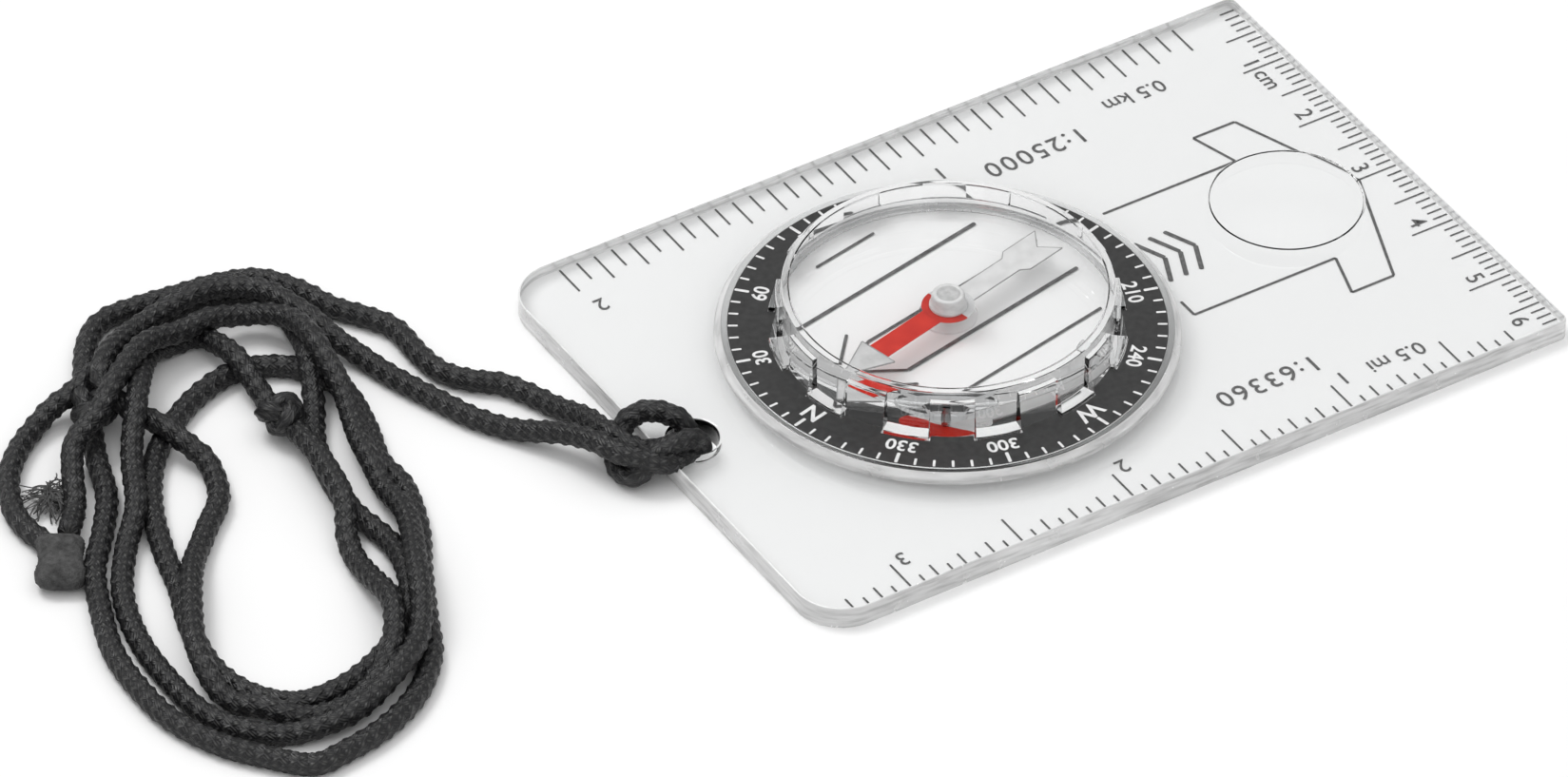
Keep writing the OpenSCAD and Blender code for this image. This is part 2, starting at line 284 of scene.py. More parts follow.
NEEDLE_WHITE = painted("needle_white", 0.60, 0.70, 0.42, 600.0, gloss=0.1)
NEEDLE_LINE = painted("needle_line", 0.22, 0.36, 0.5, 1200.0, gloss=0.1)
HUB_GREY = painted("hub_grey", 0.58, 0.74, 0.30, 900.0, gloss=0.1)
HUB_TOP = painted("hub_top", 0.40, 0.56, 0.36, 1500.0, gloss=0.1)
STEEL = painted("pin_steel", 0.52, 0.62, 0.24, 2500.0, metal=1.0)
JEWEL = painted("jewel", (0.32, 0.05, 0.08), (0.45, 0.08, 0.12), 0.12, 1500.0)
# Edges whose milky white and streaks are painted light.
PLATE_EDGE = cut_edge("plate_edge", 0.28)
FLANGE_EDGE = cut_edge("flange_edge", 0.35)
BRAID = braid_material()
SLEEVE = painted("sleeve_fuzz", 0.030, 0.085, 0.85, 1600.0, 0.8, 0.00025)
FIBRE = painted("fray_fibre", 0.035, 0.12, 0.6, 1200.0)


# ---------------------------------------------------------------- mesh tools

def at_dial(points, turn):
    """Turns points about the dial's axis by a bearing, and puts them on it."""
    a = math.radians(-turn)
    out = []
    for p in points:
        x = p[0] * math.cos(a) - p[1] * math.sin(a)
        y = p[0] * math.sin(a) + p[1] * math.cos(a)
        out.append((x, y + DIAL_Y, *p[2:]))
    return out


def finish_mesh(mesh, sharp):
    """Smooth faces, with edges sharper than so many degrees kept crisp."""
    mesh.polygons.foreach_set("use_smooth", [sharp > 0] * len(mesh.polygons))
    if sharp > 0:
        mesh.set_sharp_from_angle(angle=math.radians(sharp))
    mesh.update()


def piece(name, verts, faces, material, body, sharp=0.0):
    """A new piece from points in millimetres, riding on a body."""
    mesh = bpy.data.meshes.new(name)
    mesh.from_pydata([tuple(c * MM for c in v) for v in verts], [], faces)
    mesh.materials.append(material)
    finish_mesh(mesh, sharp)
    obj = bpy.data.objects.new(name, mesh)
    bpy.context.scene.collection.objects.link(obj)
    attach(obj, body)
    return obj


def rounded(corners, steps=3):
    """Rounds the corners of a closed section: (r, z, radius), with a holding point each side."""
    out = []
    count = len(corners)
    for i, (x, z, radius) in enumerate(corners):
        p = Vector((x, z))
        before = Vector(corners[i - 1][:2]) - p
        after = Vector(corners[(i + 1) % count][:2]) - p
        radius = min(radius, 0.3 * before.length, 0.3 * after.length)
        start = p + before.normalized() * radius
        end = p + after.normalized() * radius
        out.append(tuple(p + before.normalized() * radius * 1.5))
        for k in range(steps + 1):
            t = k / steps
            out.append(tuple((1 - t) ** 2 * start + 2 * t * (1 - t) * p + t * t * end))
        out.append(tuple(p + after.normalized() * radius * 1.5))
    return out


def turned(columns):
    """A closed ring solid through (angle, section) columns, all with as many points."""
    verts = []
    faces = []
    count = len(columns[0][1])
    for angle, section in columns:
        a = math.radians(angle)
        verts += [(r * math.sin(a), r * math.cos(a), z) for r, z in section]
    for i in range(len(columns)):
        here = i * count
        there = ((i + 1) % len(columns)) * count
        for j in range(count):
            k = (j + 1) % count
            faces.append((here + j, there + j, there + k, here + k))
    return verts, faces


def spun(columns):
    """A closed solid through (angle, section) columns that share their first and last point, on the axis."""
    inner = [(angle, section[1:-1]) for angle, section in columns]
    verts, _ = turned(inner)
    count = len(inner[0][1])
    low = len(verts)
    verts += [(0.0, 0.0, columns[0][1][0][1]), (0.0, 0.0, columns[0][1][-1][1])]
    faces = []
    for i in range(len(columns)):
        here = i * count
        there = ((i + 1) % len(columns)) * count
        for j in range(count - 1):
            faces.append((here + j, there + j, there + j + 1, here + j + 1))
        faces.append((low, there, here))
        faces.append((here + count - 1, there + count - 1, low + 1))
    return verts, [tuple(reversed(face)) for face in faces]


def lathe(section, turns=96):
    """A solid of revolution from its axis and back: (r, z) points, poles at both ends."""
    verts = [(0.0, 0.0, section[0][1])]
    for r, z in section[1:-1]:
        for k in range(turns):
            a = 2 * math.pi * k / turns
            verts.append((r * math.cos(a), r * math.sin(a), z))
    verts.append((0.0, 0.0, section[-1][1]))
    last = len(verts) - 1
    faces = [(0, 1 + (k + 1) % turns, 1 + k) for k in range(turns)]
    for i in range(len(section) - 3):
        for k in range(turns):
            n = (k + 1) % turns
            a = 1 + i * turns
            b = a + turns
            faces.append((a + k, a + n, b + n, b + k))
    top = 1 + (len(section) - 3) * turns
    faces += [(top + k, top + (k + 1) % turns, last) for k in range(turns)]
    return verts, faces


class Print:
    """Thin flat marks between two heights, gathered into one mesh."""

    def __init__(self, low, high, turn=None):
        self.low = low
        self.high = high
        self.turn = turn
        self.verts = []
        self.faces = []

    def add(self, points, faces):
        start = len(self.verts)
        self.verts += points if self.turn is None else at_dial(points, self.turn)
        self.faces += [tuple(start + i for i in face) for face in faces]

    def polygon(self, outline):
        """A flat plate with any outline that its first point can see all of."""
        n = len(outline)
        points = [(x, y, self.low) for x, y in outline] + [(x, y, self.high) for x, y in outline]
        walls = [(i, (i + 1) % n, n + (i + 1) % n, n + i) for i in range(n)]
        self.add(points, [tuple(range(n - 1, -1, -1)), tuple(range(n, 2 * n))] + walls)

    def line(self, a, b, width):
        """A stroke with clipped corners, as printed lines have."""
        a = Vector(a)
        b = Vector(b)
        along = (b - a).normalized()
        side = Vector((-along.y, along.x)) * width / 2
        cut = along * min(width * 0.25, (b - a).length * 0.2)
        inner = side * 0.5
        self.polygon([tuple(p) for p in (
            a - inner, a + cut - side, b - cut - side, b - inner,
            b + inner, b - cut + side, a + cut + side, a + inner)])

    def path(self, points, width):
        for a, b in zip(points, points[1:]):
            self.line(a, b, width)

    def word(self, text, at, angle, size, weight=0.0, spacing=1.0):
        """A word in the plain built-in face, centred, read along the angle."""
        data = bpy.data.curves.new("word", "FONT")
        data.body = text
        data.align_x = "CENTER"
        data.align_y = "CENTER"
        data.size = size
        data.offset = weight
        data.resolution_u = 4
        data.space_character = spacing
        maker = bpy.data.objects.new("word", data)
        bpy.context.scene.collection.objects.link(maker)
        flat = maker.evaluated_get(bpy.context.evaluated_depsgraph_get()).to_mesh()
        corners = [Vector((v.co.x, v.co.y)) for v in flat.vertices]
        polygons = [tuple(p.vertices) for p in flat.polygons]
        maker.evaluated_get(bpy.context.evaluated_depsgraph_get()).to_mesh_clear()
        bpy.data.objects.remove(maker)
        bpy.data.curves.remove(data)
        a = math.radians(angle)
        placed = []
        for c in corners:
            x = at[0] + c.x * math.cos(a) - c.y * math.sin(a)
            y = at[1] + c.x * math.sin(a) + c.y * math.cos(a)
            placed.append((x, y))
        n = len(placed)
        points = [(x, y, self.high) for x, y in placed] + [(x, y, self.low) for x, y in placed]
        under = [tuple(n + i for i in reversed(face)) for face in polygons]
        self.add(points, polygons + under)

    def piece(self, name, material, body, slot):
        return piece(name, self.verts, self.faces, material, body)


# ---------------------------------------------------------------- cord

HITCH = [
    (1.2, -39, 1.3), (1.3, -39.2, 2.6), (1.5, -40.3, 3.6), (1.6, -42, 3.9), (1.5, -43.7, 3.7),
    (1.7, -45.2, 2.9), (1.4, -46.5, 1.8), (0.1, -47, 1.2), (-1.6, -46.9, 1.1), (-3.1, -46.1, 1.1),
    (-4, -45.2, 1.7), (-4.6, -44, 3.1), (-4.2, -42.2, 3.9), (-3, -40.5, 3.8), (-1.7, -39.3, 3),
    (-1.2, -39, 1.4)]
LEAD_A = [(-1.1, -39.4, 1.2), (-0.6, -40.6, 1.1), (-0.2, -42.4, 1.1)]
STRAND_A = [
    (-0.2, -44.3, 1.3), (-0.7, -45.2, 2.3), (-1.6, -45.9, 3.3), (-3, -46.3, 3.7), (-5.2, -46.5, 3),
    (-8, -46.4, 1.8), (-11.5, -47.2, 1.1), (-15, -48.5, 1.1), (-17.8, -50, 1.1), (-19.8, -52.2, 1.1),
    (-22.5, -54, 1.1), (-26, -54.5, 1.1)]
LEAD_B = [(1.1, -39.4, 1.2), (1.7, -40.8, 1.1), (2.3, -42.6, 1.1)]
STRAND_B = [
    (2.3, -44.7, 1.2), (1.6, -45.5, 1.5), (0.6, -46.8, 2.6), (-0.8, -47.8, 3.2), (-3, -48.5, 2.7),
    (-6.3, -49.6, 1.7), (-9, -51.2, 1.1), (-12, -53.2, 1.1), (-15, -55, 1.1), (-18, -56.2, 1.1),
    (-21.5, -57.5, 1.1)]
COIL_A = [
    (-30.5, -54.5), (-33.5, -56), (-36.5, -58), (-40.5, -59.5), (-44, -62), (-45.5, -66),
    (-46, -70), (-46.5, -74), (-46.5, -78), (-44.5, -81), (-40, -84), (-34.5, -86.5),
    (-29, -89), (-23.5, -91), (-19, -94), (-14.5, -97.5), (-9, -100), (-3, -102),
    (3.5, -102.5), (8.5, -102), (13.5, -100), (17.5, -97), (20.5, -94), (20.5, -90.5),
    (19.5, -85.5), (17, -80.5), (13, -76.5), (8, -74), (2, -71), (-3.5, -68),
    (-9.5, -66), (-14, -66), (-19, -64.5), (-24.5, -63.5), (-28.5, -64.5), (-31.5, -67),
    (-33, -71), (-32, -75.5), (-29.5, -80), (-25.5, -84.5), (-20, -88), (-13.5, -90.5),
    (-8, -92), (-2.5, -94), (3.5, -95), (8.5, -94), (12, -91), (12.5, -86.5),
    (11, -81.5), (8, -76.5), (5, -74), (-2.5, -71.5), (-9, -72), (-14, -71.5),
    (-19.5, -70), (-25, -67), (-32, -64), (-38.5, -62.5), (-42, -64.5), (-43.5, -68),
    (-44, -72), (-43, -77), (-39, -82.5), (-37, -86.5), (-36.5, -90), (-34.5, -94),
    (-31, -97.5), (-27, -99.5), (-23.5, -100), (-19.8, -99.3)]
COIL_B = [
    (-24.5, -58.5), (-28, -59.5), (-31.5, -61), (-35, -62), (-40, -63.5), (-42.5, -66.5),
    (-43, -70.5), (-42.5, -75), (-40.5, -79.5), (-36.5, -84), (-33.5, -84.5), (-30, -83),
    (-25.5, -81.5), (-22, -80.5), (-17.5, -82), (-14, -85.5), (-9.5, -89.5), (-3, -93.5),
    (2.5, -96), (8, -96.5), (12, -94), (14.5, -91), (15, -87), (13.5, -82.5),
    (11, -79.5), (6.5, -77), (0.5, -76), (-5, -75), (-9, -73), (-14, -72),
    (-18.5, -71.5), (-24, -71), (-29, -71), (-34.5, -71), (-39, -71.5), (-39.5, -74.5),
    (-38, -78), (-30.5, -83.5), (-25.5, -87), (-19.5, -90), (-15.5, -93.5), (-10, -97),
    (-3.5, -99), (3, -99.5), (9, -99), (13.5, -96.5), (16, -93), (17, -88.5),
    (16, -84), (13.5, -79), (9.5, -75.5), (3.5, -72.5), (-4, -69), (-10.5, -68),
    (-16, -67), (-22.5, -65), (-27.5, -64.5), (-34, -64), (-38, -66), (-39, -70),
    (-38.5, -74.5), (-37.5, -78.5), (-33.5, -84), (-31, -87.5), (-29.5, -91), (-26.5, -93),
    (-23.5, -94.5), (-19.4, -97.6)]
PILE_D = 2.15
LAY_SLOPE = 0.30
BRAID_COUNT = 5
BRAID_ROW = 0.84
BRAID_HEIGHT = 0.14
TUBE_SIDES = 24
TUBE_STEP = 0.24


def curve_through(points, step):
    """Catmull-Rom samples through the points, about a step apart."""
    p = np.asarray(points, float)
    p = np.vstack([2 * p[0] - p[1], p, 2 * p[-1] - p[-2]])
    out = []
    for i in range(1, len(p) - 2):
        a, b, c, d = p[i - 1:i + 3]
        for t in np.linspace(0, 1, max(2, int(np.linalg.norm(c - b) / step)), endpoint=False):
            bend = (2 * a - 5 * b + 4 * c - d) * t * t + (3 * b - a - 3 * c + d) * t ** 3
            out.append(0.5 * (2 * b + (c - a) * t + bend))
    out.append(p[-2])
    return np.array(out)


def run_along(line):
    """Distance along a line at each of its points."""
    return np.r_[0, np.cumsum(np.linalg.norm(np.diff(line, axis=0), axis=1))]


def even(line, step):
    """The same line with its points an equal step apart."""
    s = run_along(line)
    t = np.linspace(0, s[-1], max(2, int(round(s[-1] / step)) + 1))
    return np.stack([np.interp(t, s, line[:, k]) for k in range(line.shape[1])], axis=1)


def settle(lines, floors):
    """Lays the cords one after another: each passes over what already lies there in a long low hump."""
    xy = np.vstack([line[:, :2] for line in lines])
    own = np.concatenate([[k] * len(line) for k, line in enumerate(lines)])
    along = np.concatenate([run_along(line[:, :2]) for line in lines])
    base = np.concatenate(floors)
    apart = np.linalg.norm(xy[:, None] - xy[None], axis=2)
    other = (own[:, None] != own[None]) | (np.abs(along[:, None] - along[None]) > 3 * PILE_D)
    over = np.tril((apart < PILE_D) & other, -1)
    gap = np.where(over, np.sqrt(np.maximum(PILE_D ** 2 - apart ** 2, 0)) * 0.96, -9)
    z = base.copy()
    for _ in range(60):
        wanted = np.maximum(base, np.max(np.where(over, z[None] + gap, 0), axis=1))
        for k in range(len(lines)):
            mine = own == k
            fall = np.abs(along[mine][:, None] - along[mine][None]) * LAY_SLOPE
            wanted[mine] = np.max(wanted[mine][None] - fall, axis=1)
        done = np.abs(wanted - z).max() < 1e-3
        z = wanted
        if done:
            break
    return [z[own == k] for k in range(len(lines))]


def soften(values, reach, keep):
    """A running average that leaves the first few values alone."""
    weights = np.hanning(2 * reach + 3)[1:-1]
    padded = np.pad(values, reach, mode="edge")
    smooth = np.convolve(padded, weights / weights.sum(), mode="valid")
    smooth[:keep] = values[:keep]
    return smooth


def cord_lines():
    """Both cords' centrelines from the hole to the sleeve, laid on the floor and on each other."""
    flat = []
    floors = []
    for lead, strand, coil in ((LEAD_A, STRAND_A, COIL_A), (LEAD_B, STRAND_B, COIL_B)):
        points = lead + strand + [(x, y, CORD_D / 2) for x, y in coil]
        line = even(curve_through(points, 0.5), 1.0)
        flat.append(line)
        near = line[:, 1] > -52
        floors.append(np.where(near & (np.arange(len(line)) < 40), line[:, 2], PILE_D / 2))
    heights = settle(flat, floors)
    out = []
    for line, z in zip(flat, heights):
        line[:, 2] = soften(z, 2, 6)
        out.append(even(curve_through(line, 0.2), TUBE_STEP))
    return out


def side_vectors(line):
    """Two directions across the line at each point, carried along it without twist."""
    run = np.gradient(line, axis=0)
    run /= np.linalg.norm(run, axis=1, keepdims=True)
    across = np.cross(run[0], (0.0, 0.0, 1.0))
    across /= np.linalg.norm(across)
    first = []
    for t in run:
        across = across - t * np.dot(across, t)
        across /= np.linalg.norm(across)
        first.append(across)
    first = np.array(first)
    return first, np.cross(run, first)


def braided(line, radius, start=0.0):
    """Points, faces and braid coordinates of a braided tube; its bumps are passes of yarn."""
    s = run_along(line) + start
    u, v = side_vectors(line)
    angle = np.linspace(0, 2 * math.pi, TUBE_SIDES, endpoint=False)
    crown = np.cos(BRAID_COUNT * angle)[None] * np.cos(math.pi * s / BRAID_ROW)[:, None]
    thick = radius + BRAID_HEIGHT * (np.sign(crown) * np.abs(crown) ** 0.8 - 0.25)
    thick[:2] *= np.array([[0.35], [0.8]])
    thick[-2:] *= np.array([[0.8], [0.35]])
    ring = np.cos(angle)[None, :, None] * u[:, None] + np.sin(angle)[None, :, None] * v[:, None]
    verts = (line[:, None] + thick[:, :, None] * ring).reshape(-1, 3)
    faces = []
    coords = []
    for i in range(len(line) - 1):
        for k in range(TUBE_SIDES):
            n = (k + 1) % TUBE_SIDES
            a = i * TUBE_SIDES
            b = a + TUBE_SIDES
            faces.append((a + k, a + n, b + n, b + k))
            u0 = BRAID_COUNT * k / TUBE_SIDES
            u1 = BRAID_COUNT * (k + 1) / TUBE_SIDES
            v0 = s[i] / BRAID_ROW
            v1 = s[i + 1] / BRAID_ROW
            coords += [(u0, v0), (u1, v0), (u1, v1), (u0, v1)]
    last = (len(line) - 1) * TUBE_SIDES
    faces.append(tuple(range(TUBE_SIDES - 1, -1, -1)))
    faces.append(tuple(range(last, last + TUBE_SIDES)))
    coords += [(0.0, 0.0)] * (2 * TUBE_SIDES)
    return verts, faces, coords


def braid_piece(name, line, radius=CORD_D / 2, start=0.0):
    verts, faces, coords = braided(line, radius, start)
    obj = piece(name, verts.tolist(), faces, BRAID, "plate", 60.0)
    layer = obj.data.uv_layers.new(name="braid")
    layer.data.foreach_set("uv", np.array(coords, float).ravel())
    return obj


def knot(name, at, turn):
    """A small overhand knot of the same cord, pulled down tight."""
    t = np.linspace(0, 2 * math.pi, 121)
    x = (np.sin(t) + 2 * np.sin(2 * t)) * 0.55
    y = (np.cos(t) - 2 * np.cos(2 * t)) * 0.50
    z = -np.sin(3 * t) * 0.62
    a = math.radians(turn)
    line = np.stack([
        at[0] + x * math.cos(a) - y * math.sin(a),
        at[1] + x * math.sin(a) + y * math.cos(a),
        at[2] + z], axis=1)
    return braid_piece(name, even(line, TUBE_STEP), 0.98)


SLEEVE_AT = (-16.9, -99.9, 1.5)
SLEEVE_TURN = -30.0
SLEEVE_SIZE = (7.6, 5.2, 2.9)
FRAY_AT = (-26.0, -95.7, 1.4)
FRAY_COUNT = 110
FRAY_THIN = 0.075


def sleeve():
    """The flattened, worn sleeve that joins the two ends of the cord."""
    verts = []
    faces = []
    rows = 40
    sides = 56
    a = math.radians(SLEEVE_TURN)
    rough = np.random.default_rng(7).normal(0, 0.02, (rows, sides))
    for i in range(rows):
        t = -1 + 2 * i / (rows - 1)
        fat = max(0.02, 1 - abs(t) ** 6) ** 0.5
        pinch = 1 - 0.10 * math.cos(3.0 * t)
        for k in range(sides):
            b = 2 * math.pi * k / sides
            y = math.copysign(abs(math.cos(b)) ** 0.8, math.cos(b))
            z = math.copysign(abs(math.sin(b)) ** 0.8, math.sin(b))
            swell = fat * pinch * (1 + rough[i, k] + 0.04 * math.sin(2 * b + 4 * t))
            x = SLEEVE_SIZE[0] / 2 * t * (0.94 + 0.05 * math.cos(2 * b))
            y *= SLEEVE_SIZE[1] / 2 * swell * 0.92
            z *= SLEEVE_SIZE[2] / 2 * swell * 0.92
            verts.append((
                SLEEVE_AT[0] + x * math.cos(a) - y * math.sin(a),
                SLEEVE_AT[1] + x * math.sin(a) + y * math.cos(a),
                SLEEVE_AT[2] + z))
    for i in range(rows - 1):
        for k in range(sides):
            n = (k + 1) % sides
            faces.append((i * sides + k, i * sides + n, (i + 1) * sides + n, (i + 1) * sides + k))
    faces.append(tuple(range(sides - 1, -1, -1)))
    faces.append(tuple(range((rows - 1) * sides, rows * sides)))
    return piece("cord_sleeve", verts, faces, SLEEVE, "plate", 50.0)


def fray():
    """Loose filaments where the melted cord end has come apart."""
    luck = np.random.default_rng(11)
    verts = []
    faces = []
    for _ in range(FRAY_COUNT):
        root = np.array(FRAY_AT) + luck.normal(0, (0.5, 0.5, 0.2))
        heading = luck.uniform(0, 2 * math.pi)
        rise = luck.uniform(-0.1, 0.5)
        long = luck.uniform(1.4, 3.2)
        curl = luck.uniform(-0.9, 0.9)
        points = []
        for t in np.linspace(0, 1, 9):
            a = heading + curl * t
            step = np.array((math.cos(a), math.sin(a), rise - 0.5 * t)) * long * t
            spot = root + step
            spot[2] = min(max(spot[2], 0.12), 2.7)
            points.append(spot)
        line = np.array(points)
        u, v = side_vectors(line)
        start = len(verts)
        for p, a, b in zip(line, u, v):
            verts += [tuple(p + FRAY_THIN * w) for w in (a, b, -a, -b)]
        for i in range(len(line) - 1):
            for k in range(4):
                n = (k + 1) % 4
                a = start + 4 * i
                faces.append((a + k, a + n, a + 4 + n, a + 4 + k))
        end = start + 4 * (len(line) - 1)
        faces.append((start + 3, start + 2, start + 1, start))
        faces.append((end, end + 1, end + 2, end + 3))
    return piece("cord_fray", verts, faces, FIBRE, "plate")


def lanyard():
    """Hitch, two strands with their coil, knots, sleeve and frayed end."""
    line_a, line_b = cord_lines()
    hitch = braid_piece("cord_hitch", even(curve_through(HITCH, 0.15), TUBE_STEP))
    cord_a = braid_piece("cord_a", line_a)
    cord_b = braid_piece("cord_b", line_b, start=3.1)
    knot_a = knot("cord_knot_a", (-34.0, -86.5, 2.7), 20.0)
    knot_b = knot("cord_knot_b", (-23.5, -71.5, 2.7), 75.0)
    joint = sleeve()
    tuft = fray()
    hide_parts("lanyard_hitch")
    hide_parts("lanyard_strand_a", "lanyard_end_a", "lanyard_coil")
    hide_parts("lanyard_strand_b", "lanyard_end_b")
    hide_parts("lanyard_knot_a")
    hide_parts("lanyard_knot_b")
    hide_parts("lanyard_sleeve")
    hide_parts("lanyard_frayed_end")


lanyard()


# ---------------------------------------------------------------- clear plate

def plate_outline(inset):
    """The plate's outline, moved inwards, as points round its four corners."""
    out = []
    half_w = PLATE_W / 2 - inset
    half_l = PLATE_L / 2 - inset
    corners = [(1, -1, REAR_R, 16), (1, 1, FRONT_R, 6), (-1, 1, FRONT_R, 6), (-1, -1, REAR_R, 16)]
    for i, (sx, sy, radius, steps) in enumerate(corners):
        r = radius - inset
        for k in range(steps + 1):
            a = math.radians(-90 + 90 * i + 90 * k / steps)
            x = sx * (half_w - r) + r * math.cos(a)
            y = sy * (half_l - r) + r * math.sin(a)
            out.append((x, y))
    return out


def circle(centre_y, radius, count):
    steps = [2 * math.pi * k / count for k in range(count)]
    return [(radius * math.cos(a), centre_y + radius * math.sin(a)) for a in steps]


# Material slot of the side walls, whose milky white is painted light.
PAINTED_EDGE_SLOT = 1
HOLE_SOFT = 0.35
BORE_SOFT = 0.10
HOLE_SIDES = 64
DIAL_SIDES = 192
LENS_SIDES = 128
LENS_RINGS = 15


def plate_mesh():
    """Slab with softened edges, stepped dial opening, lanyard hole and crowned lens."""
    bm = bmesh.new()

    def loop(outline, z):
        return [bm.verts.new((x * MM, y * MM, z * MM)) for x, y in outline]

    def edges_of(ring):
        pairs = zip(ring, ring[1:] + ring[:1])
        return [bm.edges.get(pair) or bm.edges.new(pair) for pair in pairs]

    def wall(rings, slot_index=0):
        for low, high in zip(rings, rings[1:]):
            for k in range(len(low)):
                n = (k + 1) % len(low)
                face = bm.faces.new((low[k], low[n], high[n], high[k]))
                face.smooth = True
                face.material_index = slot_index

    bends = [(0.0, 1.0), (0.134, 0.5), (0.5, 0.134), (1.0, 0.0)]

    def rim(make, soft, bottom, top):
        """Rings from the underside round to the top, for make(inset)."""
        rings = [loop(make(soft * v), bottom + soft * h) for h, v in bends]
        rings += [loop(make(soft * h), top - soft * v) for h, v in bends]
        return rings

    outer = rim(plate_outline, EDGE_R, 0.0, PLATE_T)
    wall(outer, PAINTED_EDGE_SLOT)
    hole = rim(lambda inset: circle(HOLE_Y, HOLE_R + inset, HOLE_SIDES), HOLE_SOFT, 0.0, PLATE_T)
    wall(hole)
    bore = rim(
        lambda inset: circle(DIAL_Y, OPENING_R + inset, DIAL_SIDES), BORE_SOFT, COUNTERBORE_H, PLATE_T)
    wall(bore)
    step = [loop(circle(DIAL_Y, COUNTERBORE_R, DIAL_SIDES), z) for z in (0.0, COUNTERBORE_H)]
    wall(step)
    wall([step[1], bore[0]])
    dome = (LENS_R ** 2 + LENS_RISE ** 2) / (2 * LENS_RISE)
    seam = [(0.22, 0.0), (0.16, 0.02), (0.04, 0.18)]
    lens = [loop(circle(LENS_Y, LENS_R + out, LENS_SIDES), PLATE_T - deep) for out, deep in seam]
    for k in range(LENS_RINGS):
        r = (LENS_R - 0.03) * (1 - k / LENS_RINGS)
        z = PLATE_T + LENS_RISE - dome + math.sqrt(dome ** 2 - r ** 2)
        lens.append(loop(circle(LENS_Y, r, LENS_SIDES), z))
    wall(lens)
    crown = bm.verts.new((0, LENS_Y * MM, (PLATE_T + LENS_RISE) * MM))
    for k in range(LENS_SIDES):
        bm.faces.new((lens[-1][k], lens[-1][(k + 1) % LENS_SIDES], crown)).smooth = True
    for rings in ((outer[0], hole[0], step[0]), (outer[-1], hole[-1], bore[-1], lens[0])):
        around = []
        for ring in rings:
            around += edges_of(ring)
        bmesh.ops.triangle_fill(bm, edges=around, use_beauty=True)
    loose = [v for v in bm.verts if not v.link_faces]
    bmesh.ops.delete(bm, geom=loose, context="VERTS")
    bmesh.ops.recalc_face_normals(bm, faces=bm.faces)
    mesh = bpy.data.meshes.new("clear_plate")
    bm.to_mesh(mesh)
    bm.free()
    mesh.set_sharp_from_angle(angle=math.radians(50))
    # The call above makes every face smooth, so the two flat sides are set flat after it.
    for face in mesh.polygons:
        heights = {round(mesh.vertices[v].co.z / MM, 3) for v in face.vertices}
        if heights in ({0.0}, {PLATE_T}):
            face.use_smooth = False
            face.material_index = 0
    return mesh


def clear_plate():
    """The plate and its lens as one moulding, with side walls whose milky white is painted light."""
    mesh = plate_mesh()
    mesh.materials.append(PLATE_CLEAR)
    mesh.materials.append(PLATE_EDGE)
    obj = bpy.data.objects.new("clear_plate", mesh)
    bpy.context.scene.collection.objects.link(obj)
    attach(obj, "plate")
    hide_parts("baseplate", "magnifier_lens")


PRINT_LOW = 0.03
PRINT_HIGH = 0.06
KM_EDGE = -30.05
CM_EDGE = 43.75
EDGE_LIMIT = 29.72
KM_STEP = 2
MILE_STEP = 1.5875
TICK = 0.22
SIDEWAYS = -90
LABEL = 2.6
SCALE_LABEL = 3.2
SCALE_SPACING = 1.16
THIN = 0.01


def km_scale(marks):
    """Map scale in kilometres, along the left edge."""
    for i in range(37):
        y = CM_EDGE - 8 - KM_STEP * i
        end = 4.3 if i % 2 == 0 else 3.3
        marks.line((KM_EDGE + 0.5, y), (KM_EDGE + end, y), TICK)
    marks.word("0.5 km", (-22.9, 26.8), SIDEWAYS, LABEL, THIN)
    marks.word("1:25000", (-20.5, 13.6), SIDEWAYS, SCALE_LABEL, THIN, SCALE_SPACING)
    marks.word("1", (-22.7, 3.7), SIDEWAYS, LABEL, THIN)
    marks.word("2", (-23.0, -35.5), SIDEWAYS, LABEL, THIN)


def cm_scale(marks):
    """Ruler in centimetres, along the front edge."""
    for i in range(1, 59):
        end = 2.6
        if i % 5 == 0:
            end = 4.47
        if i % 10 == 0:
            end = 5.76
        x = KM_EDGE + i
        marks.line((x, CM_EDGE - 0.92), (x, CM_EDGE - end), 0.2)
    labels = [("1", -21.0), ("cm", -18.0), ("2", -11.5), ("3", -1.5), ("4", 8.5), ("5", 18.6), ("6", 26.4)]
    for text, x in labels:
        marks.word(text, (x, 39.5), 0, LABEL, THIN)


def corner_limit(y):
    """How far right a mark may run: to the edge, or to the rear corner's curve."""
    past = PLATE_L / 2 - REAR_R + y
    if past >= 0:
        return EDGE_LIMIT
    return EDGE_LIMIT - REAR_R + math.sqrt(REAR_R ** 2 - past ** 2)


def mile_scale(marks):
    """Map scale in miles, along the right edge."""
    for k in range(4, 54):
        y = CM_EDGE - MILE_STEP * k
        start = 27.5
        if k % 2 == 0:
            start = 26.8
        if k % 8 == 0:
            start = KM_EDGE + 54.86
        marks.line((start, y), (corner_limit(y), y), TICK)
    marks.word("0.5 mi", (24.5, 26.2), SIDEWAYS, LABEL, THIN)
    marks.word("1", (24.4, 20.0), SIDEWAYS, LABEL, THIN)
    marks.word("1:63360", (21.0, 13.6), SIDEWAYS, SCALE_LABEL, THIN, SCALE_SPACING)
    marks.word("2", (24.2, -5.5), SIDEWAYS, LABEL, THIN)
    marks.word("3", (24.6, -31.0), SIDEWAYS, LABEL, THIN)


